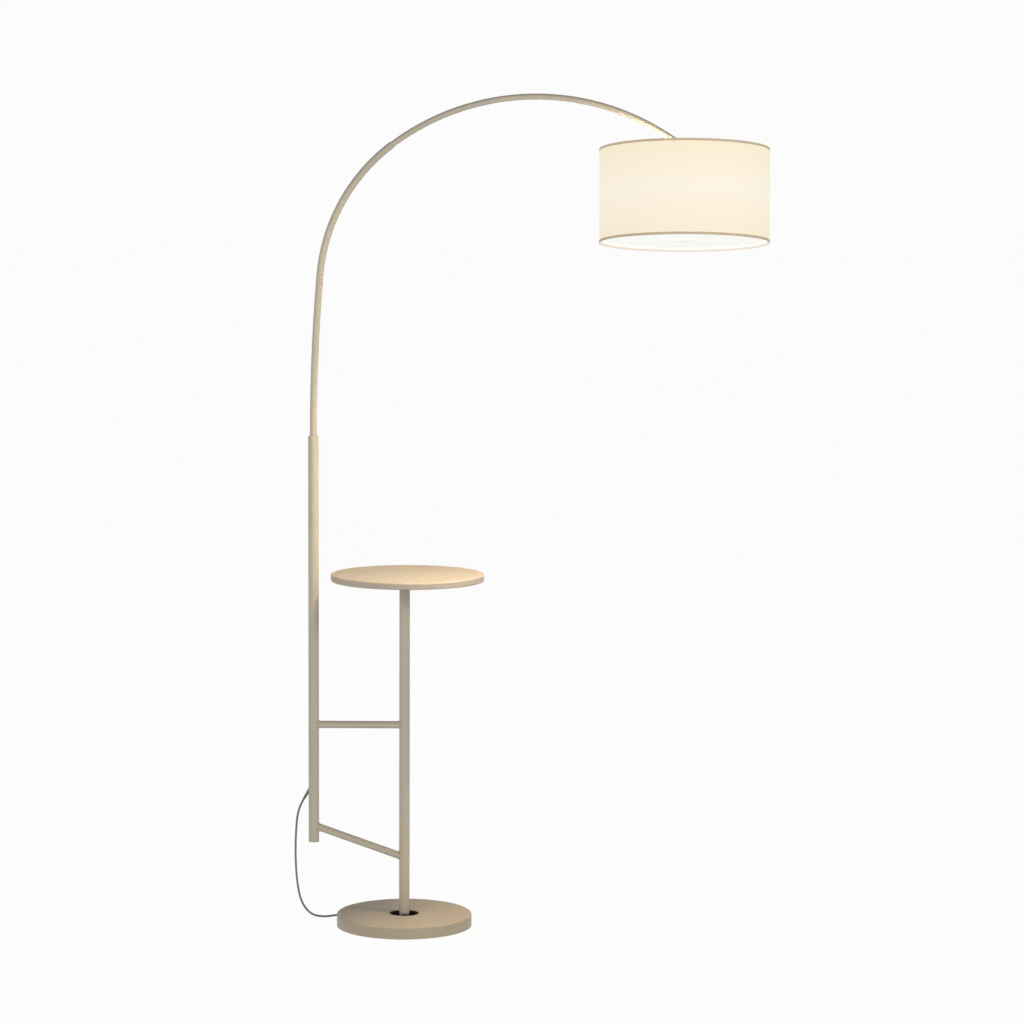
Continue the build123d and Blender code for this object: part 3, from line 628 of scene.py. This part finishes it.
def makeWeld(name, rungName, upright):
    atPole, atPost = rungs[rungName]
    start = Vector((uprights["pole"], 0, atPole))
    way = (Vector((uprights["post"], 0, atPost)) - start).normalized()
    side = Vector((-way.z, 0, way.x))
    facing = 1 if upright == "pole" else -1
    path = []  # the line where the two tubes meet
    for step in range(weld["steps"]):
        turn = 2 * math.pi * step / weld["steps"]
        y, rise = rungs["radius"] * math.cos(turn), rungs["radius"] * math.sin(turn)
        x = uprights[upright] + facing * math.sqrt(uprights["radius"] ** 2 - y ** 2)
        reach = (x - start.x - rise * side.x) / way.x
        path.append(start + way * reach + side * rise + Vector((0, y, 0)))
    ring = [2 * math.pi * k / weld["round"] for k in range(weld["round"])]
    sections = []
    for step, point in enumerate(path):
        ahead = (path[(step + 1) % len(path)] - path[step - 1]).normalized()
        out = Vector((point.x - uprights[upright], point.y, 0)).normalized()
        up = ahead.cross(out).normalized()
        size = weld["bead"] + weld["ripple"] * math.sin(2 * math.pi * weld["ripples"] * step / weld["steps"])
        sections.append([point + size * (math.cos(a) * out + math.sin(a) * up) for a in ring])
    mesh = bandMesh(name, sections, summed(path), strips(sections[0]))
    makePiece(name, mesh, "stand", "paint")


for rungName in ("upper", "lower"):
    for upright in ("pole", "post"):
        makeWeld("weld_" + rungName + "_" + upright, rungName, upright)

# threaded stud in the recess
stud = {
    "low": 0.00205, "high": 0.041, "chamfer": 0.0012, "sides": 48,
    "outer": 0.006, "root": 0.0050, "pitch": 0.00175,
}


def makeStud():
    small = stud["outer"] - stud["chamfer"]
    low, high = stud["low"] + stud["chamfer"], stud["high"] - stud["chamfer"]
    thread = threadRings(low, high, stud["outer"], stud["root"], stud["pitch"])
    rings = [(stud["low"], small), *thread, (stud["high"], small)]
    mesh = turnedMesh("footStudThread", rings, stud["sides"], Matrix())
    piece = makePiece("footStudThread", mesh, "stand", "steel")
    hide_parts("foot_stud")


def headRings(screw):  # domed head from its outer face to the shank, with a fine chamfer where it seats
    top = screw["face"] - screw["headHeight"]
    rings = [(top + screw["headHeight"] * down, screw["head"] * out) for down, out in screw["dome"]]
    rings.append((screw["face"] - screw["edge"], screw["head"]))
    rings.append((screw["face"], screw["head"] - screw["edge"] / 2))
    rings.append((screw["face"], screw["shank"]))
    return rings


# cross-head screws under the table, each driven home at its own angle
tableScrew = {
    "face": 0.6625, "circle": 0.034, "count": 4, "firstTurn": 25, "turnStep": 47, "sides": 64,
    "head": 0.004, "headHeight": 0.0024, "edge": 0.0002, "dome": ((0, 0.66), (0.15, 0.86), (0.45, 0.98)),
    "crossLength": 0.0022, "crossWidth": 0.00055, "crossDepth": 0.0015,
    "shank": 0.002, "root": 0.0014, "pitch": 0.0016, "plain": 0.001,
    "length": 0.0120, "point": 0.002, "tip": 0.0003,
}


def makeTableScrews():
    screw = tableScrew
    face, end = screw["face"], screw["face"] + screw["length"]
    top = face - screw["headHeight"]
    rings = [
        (top + screw["crossDepth"], cross(screw["crossWidth"] / 2, screw["crossLength"] / 2)),
        (top, cross(screw["crossWidth"], screw["crossLength"])),
    ]
    rings += headRings(screw)
    low, high = face + screw["plain"], end - screw["point"]
    rings += threadRings(low, high, screw["shank"], screw["root"], screw["pitch"])
    rings.append((end, screw["tip"]))
    works = bmesh.new()
    for step in range(screw["count"]):
        angle = 2 * math.pi * (step + 0.5) / screw["count"]
        place = Matrix.Translation((screw["circle"] * math.cos(angle), screw["circle"] * math.sin(angle), 0))
        place = place @ Matrix.Rotation(math.radians(screw["firstTurn"] + screw["turnStep"] * step), 4, "Z")
        works.from_mesh(turnedMesh("tableScrew", rings, screw["sides"], place))
    mesh = bpy.data.meshes.new("tableScrewSet")
    works.to_mesh(mesh)
    works.free()
    smoothMesh(mesh)
    piece = makePiece("tableScrewSet", mesh, "stand", "steel")
    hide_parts("table_screws")


# socket screw that clamps the swivel, along the tilt axis
swivelScrew = {
    "face": -0.00965, "sides": 48,
    "head": 0.0045, "headHeight": 0.0032, "edge": 0.0002, "dome": ((0, 0.7), (0.12, 0.86), (0.4, 0.98)),
    "socket": 0.003, "socketDepth": 0.0018, "socketFlare": 0.0003,
    "shank": 0.0025, "root": 0.0021, "pitch": 0.0008, "threadFrom": 0.0098, "end": 0.01495, "chamfer": 0.0005,
}


def makeSwivelScrew():
    screw = swivelScrew
    top = screw["face"] - screw["headHeight"]
    rings = [
        (top + screw["socketDepth"], hexagon(screw["socket"])),
        (top + screw["edge"], hexagon(screw["socket"])),
        (top, hexagon(screw["socket"] + screw["socketFlare"])),
    ]
    rings += headRings(screw)
    rings.append((screw["threadFrom"] - screw["edge"], screw["shank"]))
    end = screw["end"] - screw["chamfer"]
    rings += threadRings(screw["threadFrom"], end, screw["shank"], screw["root"], screw["pitch"])
    rings.append((screw["end"], screw["root"]))
    place = Matrix.Translation(pivot) @ Matrix.Rotation(math.radians(90), 4, "Y")
    mesh = turnedMesh("swivelSocketScrew", rings, screw["sides"], place)
    piece = makePiece("swivelSocketScrew", mesh, "arm", "steel")
    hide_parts("swivel_screw")


makeStud()
makeTableScrews()
makeSwivelScrew()
print("welds and fixings made")

# mains lead: one line from the boot, round the base, through the hank to the plug
lead = {
    "diameter": 0.004, "length": 1.75, "leadIn": 0.020, "roundness": 5, "smoothness": 6,
    "start": (-0.19236, 0.00704, 0.24354), "leave": (-0.20332, 0.01103, 0.22488),
    "hanging": [
        (-0.208, 0.013, 0.185), (-0.2095, 0.0155, 0.132), (-0.207, 0.019, 0.082), (-0.200, 0.025, 0.040),
        (-0.182, 0.038, 0.0115), (-0.156, 0.058, 0.0021), (-0.127, 0.082, 0.0021), (-0.101, 0.102, 0.0023),
    ],
    "tail": [(0.013, 0.0, 0.0), (0.027, 0.0006, -0.0022), (0.040, -0.005, -0.0022)],
}
hank = {
    "azimuth": 102, "reach": 0.1525, "run": 0.068, "fold": 0.012, "loops": 2, "step": 0.005141,
    "pull": 0.0082,  # a little more than the waist is drawn in, because the line passes inside its points
    "low": 0.0032, "high": 0.0078, "foldPoints": 9, "runSteps": 10,
}


def hankPlace():
    angle = math.radians(hank["azimuth"])
    along = Vector((math.sin(angle), -math.cos(angle), 0))
    outwards = Vector((math.cos(angle), math.sin(angle), 0))
    place = Matrix((along, outwards, (0, 0, 1))).transposed().to_4x4()
    place.translation = outwards * hank["reach"]
    return place


def hankPoints():
    outer = hank["fold"] + hank["loops"] * hank["step"]
    spiral = []  # side and reach of each run of a layer, inwards
    for loop in range(hank["loops"]):
        reach = outer - loop * hank["step"]
        spiral += [(-1, reach), (1, reach)]
    spiral.append((-1, hank["fold"]))
    runs = [(side, reach, hank["low"], hank["low"]) for side, reach in spiral]
    runs.append((1, hank["fold"], hank["low"], hank["high"]))  # climbs to the upper layer
    runs += [(side, reach, hank["high"], hank["high"]) for side, reach in reversed(spiral)]
    points = []
    half = hank["run"] / 2
    for index, (side, reach, low, high) in enumerate(runs):
        for step in range(hank["runSteps"] + 1):  # along the run, drawn in under the tie
            share = step / hank["runSteps"]
            drawn = hank["pull"] * (1 - math.cos(2 * math.pi * share)) / 2
            climb = (high - low) * (1 - math.cos(math.pi * share)) / 2
            points.append((side * (half - share * hank["run"]), side * (reach - drawn), low + climb))
        if index < len(runs) - 1:  # round the end to the next run
            radius = (reach + runs[index + 1][1]) / 2
            middle = reach - radius
            for step in range(1, hank["foldPoints"] + 1):
                turn = math.pi * step / (hank["foldPoints"] + 1)
                x, y = half + radius * math.sin(turn), middle + radius * math.cos(turn)
                points.append((-side * x, side * y, high))
    return points, outer


# strap round the waist of the hank, with its end lapped over on top
tie = {
    "half": 0.01678, "low": 0.0007, "high": 0.0103, "thickness": 0.0006, "width": 0.008, "corner": 0.0014,
    "cornerSteps": 6, "lap": (-0.009, 0.007), "lapSteps": 6, "flatShare": 0.94, "softShare": 0.2,
}


def strapSection(point, out):  # a flat strip with softened edges, standing on its inner face
    half, deep = tie["width"] / 2, tie["thickness"]
    inset, soft = half * tie["flatShare"], deep * tie["softShare"]
    outline = [(-half, soft), (-inset, 0), (inset, 0), (half, soft),
               (half, deep - soft), (inset, deep), (-inset, deep), (-half, deep - soft)]
    return [point + Vector((x, 0, 0)) + out * depth for x, depth in outline]


def makeTie(place):
    corner = tie["corner"]
    low, high = tie["low"] + corner, tie["high"] - corner
    sections, line = [], []
    for start, side, height in ((-90, 1, low), (0, 1, high), (90, -1, high), (180, -1, low)):
        middle = Vector((0, side * (tie["half"] - corner), height))
        for step in range(tie["cornerSteps"] + 1):
            turn = math.radians(start + 90 / tie["cornerSteps"] * step)
            out = Vector((0, math.cos(turn), math.sin(turn)))
            line.append(middle + out * corner)
            sections.append([place @ point for point in strapSection(line[-1], out)])
    spans = strips(sections[0])
    mesh = bandMesh("hankStrap", sections, summed(line), spans)
    strap = makePiece("hankStrap", mesh, "stand", "strap")
    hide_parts("cord_tie")
    first, last = tie["lap"]
    rise = tie["high"] + tie["thickness"]
    steps = tie["lapSteps"]
    line = [Vector((0, first + (last - first) * step / steps, rise)) for step in range(steps + 1)]
    sections = [[place @ point for point in strapSection(spot, Vector((0, 0, 1)))] for spot in line]
    mesh = bandMesh("hankStrapEnd", sections, summed(line, False), spans, False)
    end = makePiece("hankStrapEnd", mesh, "stand", "strap")
    return [strap, end]


def makeLead():
    place = hankPlace()
    turns, outer = hankPoints()
    half = hank["run"] / 2 + lead["diameter"]
    wayIn = Vector((-half, -outer, hank["low"]))
    wayOut = Vector((half, -outer, hank["high"]))
    points = [Vector(point) for point in (lead["start"], lead["leave"], *lead["hanging"])]
    points += [place @ (wayIn - Vector((lead["leadIn"], 0, 0))), place @ wayIn]
    points += [place @ Vector(point) for point in turns]
    points += [place @ wayOut] + [place @ (wayOut + Vector(point)) for point in lead["tail"]]
    curve = bpy.data.curves.new("mainsLead", "CURVE")
    curve.dimensions = "3D"
    curve.bevel_depth = lead["diameter"] / 2
    curve.bevel_resolution = lead["roundness"]
    curve.resolution_u = lead["smoothness"]
    spline = curve.splines.new("NURBS")
    spline.points.add(len(points) - 1)
    for control, point in zip(spline.points, points):
        control.co = (*point, 1)
    spline.order_u = 3
    spline.use_endpoint_u = True
    piece = makePiece("mainsLead", curve, "stand", "lead")
    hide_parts("mains_lead", "cord_hank", "plug_lead")
    straps = makeTie(place)
    return piece


mainsLead = makeLead()
print("lead laid:", len(mainsLead.data.splines[0].points), "points")

# camera at the photograph's place
view = {
    "place": (0.203, -6.623, 1.4874), "pitch": 84.05, "roll": 0.26, "lens": 123.6, "sensor": 36, "far": 100,
}
camera = bpy.data.objects.new("photoCamera", bpy.data.cameras.new("photoCamera"))
bpy.context.scene.collection.objects.link(camera)
camera.data.sensor_width = view["sensor"]
camera.data.lens = view["lens"]
camera.data.clip_end = view["far"]
pitch = Matrix.Rotation(math.radians(view["pitch"]), 4, "X")
roll = Matrix.Rotation(math.radians(view["roll"]), 4, "Z")
camera.matrix_world = Matrix.Translation(view["place"]) @ pitch @ roll
bpy.context.scene.camera = camera

# white sweep that the camera sees, and a dome that is brightest at the horizon
studio = {
    "white": 0.973, "level": 1.0, "low": 0.45, "lowAt": -0.9, "top": 0.08, "fade": 0.45,
    "floorSize": 60, "floorDrop": 0.0004, "floorShade": 0.02, "floorGlow": 0.968,
}


def makeSky():
    world = bpy.data.worlds.new("studioSky")
    world.use_nodes = True
    bpy.context.scene.world = world
    tree = world.node_tree
    tree.nodes.clear()
    split = addNode(tree, "ShaderNodeSeparateXYZ")
    tree.links.new(addNode(tree, "ShaderNodeTexCoord").outputs["Generated"], split.inputs["Vector"])
    above = addRange(tree, split.outputs["Z"], 1, studio["top"] / studio["level"], 0, studio["fade"])
    below = addRange(tree, split.outputs["Z"], studio["low"], studio["level"], studio["lowAt"], 0)
    dome = addNode(tree, "ShaderNodeBackground", {"Color": (1, 1, 1, 1)})
    tree.links.new(addMath(tree, "MULTIPLY", above, below), dome.inputs["Strength"])
    sweep = addNode(tree, "ShaderNodeBackground", {"Color": (1, 1, 1, 1), "Strength": studio["white"]})
    seen = addNode(tree, "ShaderNodeLightPath").outputs["Is Camera Ray"]
    both = addNode(tree, "ShaderNodeMixShader")
    tree.links.new(seen, both.inputs["Fac"])
    tree.links.new(dome.outputs[0], both.inputs[1])
    tree.links.new(sweep.outputs[0], both.inputs[2])
    tree.links.new(both.outputs[0], addNode(tree, "ShaderNodeOutputWorld").inputs["Surface"])


def makeFloor():
    mesh = bpy.data.meshes.new("studioFloor")
    size = studio["floorSize"]
    corners = [(-size, -size, 0), (size, -size, 0), (size, size, 0), (-size, size, 0)]
    mesh.from_pydata(corners, [], [(0, 1, 2, 3)])
    floor = bpy.data.objects.new("studioFloor", mesh)
    bpy.context.scene.collection.objects.link(floor)
    floor.location.z = -studio["floorDrop"]
    finish, tree, shader = newFinish("floorWhite")
    shader.inputs["Base Color"].default_value = (*[studio["floorShade"]] * 3, 1)
    shader.inputs["Roughness"].default_value = 1.0
    shader.inputs["Specular IOR Level"].default_value = 0.0
    shader.inputs["Emission Color"].default_value = (1, 1, 1, 1)
    shader.inputs["Emission Strength"].default_value = studio["floorGlow"]
    mesh.materials.append(finish)
    floor.visible_diffuse = False
    floor.visible_glossy = False


def aimed(place, target):
    aim = (Vector(target) - Vector(place)).to_track_quat("-Z", "Y")
    return Matrix.Translation(place) @ aim.to_matrix().to_4x4()


def addLight(name, look, colour, place):
    data = bpy.data.lights.new(name, look["kind"])
    data.energy = look["power"]
    data.color = colour
    if look["kind"] == "AREA":
        data.shape = "DISK"
        data.size = look["size"]
        data.spread = math.radians(look["spread"])
    else:
        data.shadow_soft_size = look["size"]
    light = bpy.data.objects.new(name, data)
    bpy.context.scene.collection.objects.link(light)
    light.matrix_world = place
    light.visible_camera = False
    light.visible_glossy = False
    return light


# what the lit shade throws down on the base, across to the pole and up to the arc; places are the head's own
warmWhite = (1.0, 0.84, 0.64)
headLights = {
    "lampDown": {"kind": "AREA", "power": 5.2, "size": 0.20, "spread": 130,
                 "place": Matrix.Translation((-0.265, -0.155, -0.16))},
    "lampSide": {"kind": "AREA", "power": 0.8, "size": 0.18, "spread": 100,
                 "place": aimed((-0.27, -0.35, -0.07), (-0.70, 0, -0.60))},
    "lampUp": {"kind": "POINT", "power": 0.9, "size": 0.02,
               "place": Matrix.Translation((-0.05, -0.03, -0.02))},
}
# soft boxes round the lamp, all aimed at its middle
softWhite = (1.0, 0.985, 0.96)
lampMiddle = (0.1, 0, 0.6)
softBoxes = {
    "softKey": {"kind": "AREA", "power": 84, "size": 2.4, "spread": 180, "place": (-1.7, -4.6, 2.2)},
    "softFill": {"kind": "AREA", "power": 26, "size": 0.7, "spread": 180, "place": (3.0, -1.5, 1.9)},
    "softBack": {"kind": "AREA", "power": 45, "size": 2.4, "spread": 180, "place": (0.9, 4.6, 1.5)},
}

makeSky()
makeFloor()
for name, look in headLights.items():
    addLight(name, look, warmWhite, headPlace @ look["place"]).parent = frame["bodies"]["head"]
for name, look in softBoxes.items():
    addLight(name, look, softWhite, aimed(look["place"], lampMiddle))
scene = bpy.context.scene
scene.view_settings.view_transform = "Standard"
scene.view_settings.look = "None"
print("studio ready")
